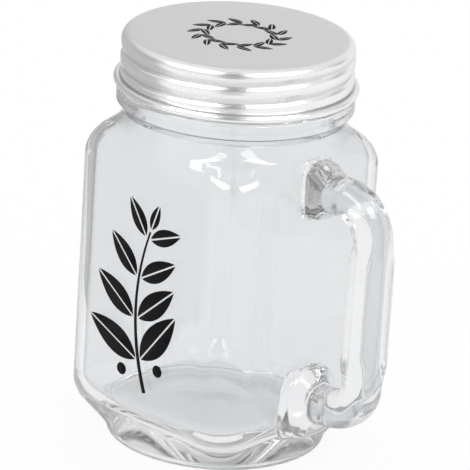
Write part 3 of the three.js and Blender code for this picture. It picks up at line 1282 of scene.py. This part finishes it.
@dataclass
class Studio:
    """A pale floor, a white room with a few grey screens, and soft boxes.

    The sizes are metres. The screens give metal and glass something darker to mirror and to bend.
    """

    lamps: tuple[SoftBox, ...] = (SoftBox("softbox_left", -6.0, 46.0, (0.7, 0.4)),
                                  SoftBox("softbox_right", 88.0, 46.0, (0.8, 0.4)))
    floor_side: float = 12.0
    ambient: float = 1.05
    floor_colour: str = "#F7F7F7"
    floor_white: float = 0.92
    ceiling: str = "#E4E4E5"
    dark_side: tuple[float, float] = (0.345, -0.939)
    dark_pull: float = 0.175
    front: float = 42.0
    front_edge: float = 0.345
    left_edge: float = 0.13
    floor_mirror: float = 0.2
    floor_drop: float = 0.0002
    ceiling_rise: tuple[float, float] = (-0.05, 0.8)
    wall_rise: tuple[float, float] = (0.4, 0.6)
    low_room: tuple[tuple[float, float], ...] = (
        (-180.0, 1.0), (-138.0, 1.0), (-122.0, 0.6), (-44.0, 0.52), (-32.0, 1.0), (22.0, 1.0), (30.0, 0.5),
        (46.0, 0.5), (54.0, 1.0), (142.0, 1.0), (160.0, 0.6), (180.0, 1.0))
    high_room: tuple[tuple[float, float], ...] = (
        (-180.0, 1.0), (20.0, 1.0), (29.0, 0.22), (46.0, 0.22), (55.0, 1.0), (180.0, 1.0))

    def build(self) -> None:
        """Build the surround, the floor and the lamps."""
        self._world()
        self._floor()
        for lamp in self.lamps:
            lamp.hang()

    @staticmethod
    def _seen(tree: bpy.types.NodeTree) -> bpy.types.NodeSocket:
        """Tell the rays that show the surround to the eye: straight, in a mirror or through glass.

        Args:
            tree: The node tree of the world or the floor.

        Returns:
            One for such a ray, and nought for others.
        """
        path = add_node(tree, "ShaderNodeLightPath")
        both = add_node(tree, "ShaderNodeMath", {
            0: path.outputs["Is Camera Ray"], 1: path.outputs["Is Glossy Ray"]}, operation="MAXIMUM")
        every = add_node(tree, "ShaderNodeMath", {
            0: both.outputs[0], 1: path.outputs["Is Transmission Ray"]}, operation="MAXIMUM")
        return every.outputs[0]

    @staticmethod
    def _walls(tree: bpy.types.NodeTree, bearing: bpy.types.NodeSocket,
               tones: tuple[tuple[float, float], ...]) -> bpy.types.NodeSocket:
        """Tone of the room round about.

        Args:
            tree: The world's node tree.
            bearing: Bearing as a share of a turn.
            tones: Bearing in degrees and tone of each stop.

        Returns:
            The tone.
        """
        walls = add_node(tree, "ShaderNodeValToRGB", {0: bearing})
        stops = walls.color_ramp.elements
        walls.color_ramp.interpolation = "EASE"
        while len(stops) < len(tones):
            stops.new(0.5)
        for stop, (angle, tone) in zip(stops, tones):
            stop.position = angle / 360.0 + 0.5
            stop.color = (tone, tone, tone, 1.0)
        return walls.outputs["Color"]

    def _room(self, tree: bpy.types.NodeTree) -> bpy.types.NodeSocket:
        """Paint the room that glass and metal show: white, greyer overhead, with grey screens.

        Args:
            tree: The world's node tree.

        Returns:
            Its colour.
        """
        place = add_node(tree, "ShaderNodeTexCoord")
        lean = (self.dark_side[0] * self.dark_pull, self.dark_side[1] * self.dark_pull, 1.0)
        axes = add_node(tree, "ShaderNodeVectorMath", {0: place.outputs["Generated"], 1: lean},
                        operation="DOT_PRODUCT")
        rise = add_node(tree, "ShaderNodeMapRange", {
            "Value": axes.outputs["Value"], "From Min": self.ceiling_rise[0] - self.dark_pull,
            "From Max": self.ceiling_rise[1] - self.dark_pull}, interpolation_type="SMOOTHSTEP")
        shade = add_node(tree, "ShaderNodeMix", {
            0: rise.outputs["Result"], 6: linear(WHITE), 7: linear(self.ceiling)}, data_type="RGBA")
        parts = add_node(tree, "ShaderNodeSeparateXYZ", {0: place.outputs["Generated"]})
        ahead = add_node(tree, "ShaderNodeMath", {0: parts.outputs["Y"], 1: -1.0}, operation="MULTIPLY")
        bearing = add_node(tree, "ShaderNodeMath", {0: parts.outputs["X"], 1: ahead.outputs[0]},
                           operation="ARCTAN2")
        round_about = add_node(tree, "ShaderNodeMapRange", {
            "Value": bearing.outputs[0], "From Min": -math.pi, "From Max": math.pi})
        height = add_node(tree, "ShaderNodeMapRange", {
            "Value": parts.outputs["Z"], "From Min": self.wall_rise[0], "From Max": self.wall_rise[1]},
            interpolation_type="SMOOTHSTEP")
        walls = add_node(tree, "ShaderNodeMix", {
            0: height.outputs["Result"], 6: self._walls(tree, round_about.outputs["Result"], self.low_room),
            7: self._walls(tree, round_about.outputs["Result"], self.high_room)}, data_type="RGBA")
        room = add_node(tree, "ShaderNodeMix", {
            0: 1.0, 6: shade.outputs[2], 7: walls.outputs[2]}, data_type="RGBA", blend_type="MULTIPLY")
        return room.outputs[2]

    def _world(self) -> None:
        """Make an even soft light, the room in glass and metal, and plain white behind the jar."""
        world = bpy.data.worlds.new("studio")
        bpy.context.scene.world = world
        tree = empty_tree(world)
        path = add_node(tree, "ShaderNodeLightPath")
        light = add_node(tree, "ShaderNodeBackground", {"Color": linear(WHITE), "Strength": self.ambient})
        shown = add_node(tree, "ShaderNodeBackground", {"Color": self._room(tree), "Strength": 1.0})
        plain = add_node(tree, "ShaderNodeBackground", {"Color": linear(WHITE), "Strength": 1.0})
        inner = add_node(tree, "ShaderNodeMixShader", {
            0: self._seen(tree), 1: light.outputs[0], 2: shown.outputs[0]})
        outer = add_node(tree, "ShaderNodeMixShader", {
            0: path.outputs["Is Camera Ray"], 1: inner.outputs[0], 2: plain.outputs[0]})
        add_node(tree, "ShaderNodeOutputWorld", {"Surface": outer.outputs[0]})

    def _floor_paint(self) -> bpy.types.Material:
        """Make a matte pale paint that shows near white and keeps the shadow.

        Returns:
            The material.
        """
        material = bpy.data.materials.new("pale_floor")
        tree = empty_tree(material)
        matte = add_node(tree, "ShaderNodeBsdfDiffuse", {"Color": linear(self.floor_colour)})
        white = add_node(tree, "ShaderNodeEmission", {"Color": linear(WHITE), "Strength": 1.0})
        path = add_node(tree, "ShaderNodeLightPath")
        straight = add_node(tree, "ShaderNodeMath", {
            0: path.outputs["Is Camera Ray"], 1: path.outputs["Is Transmission Ray"]}, operation="MAXIMUM")
        amount = add_node(tree, "ShaderNodeMapRange", {
            "Value": straight.outputs[0], "To Min": self.floor_mirror, "To Max": self.floor_white})
        share = add_node(tree, "ShaderNodeMath", {0: self._seen(tree), 1: amount.outputs["Result"]},
                         operation="MULTIPLY")
        both = add_node(tree, "ShaderNodeMixShader", {
            0: share.outputs[0], 1: matte.outputs[0], 2: white.outputs[0]})
        add_node(tree, "ShaderNodeOutputMaterial", {"Surface": both.outputs[0]})
        return material

    def _floor(self) -> None:
        """Lay the floor, whose near and left edges end close to the jar."""
        half = self.floor_side / 2.0
        shape = bmesh.new()
        bmesh.ops.create_grid(shape, x_segments=1, y_segments=1, size=half)
        mesh = bpy.data.meshes.new("floor")
        shape.to_mesh(mesh)
        shape.free()
        mesh.materials.append(self._floor_paint())
        floor = bpy.data.objects.new("floor", mesh)
        right, front = facing(self.front, 0.0)
        middle = right * (half - self.left_edge) - front * (half - self.front_edge)
        floor.location = (middle.x, middle.y, -self.floor_drop)
        floor.rotation_euler.z = math.radians(self.front)
        bpy.context.scene.collection.objects.link(floor)


def let_light_through() -> None:
    """Let light turn often enough inside thick glass to come out again."""
    for limit in ("max_bounces", "transmission_bounces", "glossy_bounces"):
        setattr(bpy.context.scene.cycles, limit, GLASS_TURNS)


def main() -> None:
    """Load the frame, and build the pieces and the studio."""
    logging.basicConfig(level=logging.INFO, format="%(message)s")
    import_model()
    bpy.context.scene.view_settings.view_transform = "Standard"
    let_light_through()
    Camera().place()
    ink = PrintInk().make()
    GlassJar().build(PressedGlass().make())
    ScrewLid().build(BrushedAluminium().make())
    LidLiner().build(FoamSheet().make())
    PanelPrint().build(ink)
    LidPrint().build(ink)
    Studio().build()


if __name__ == "__main__":
    main()
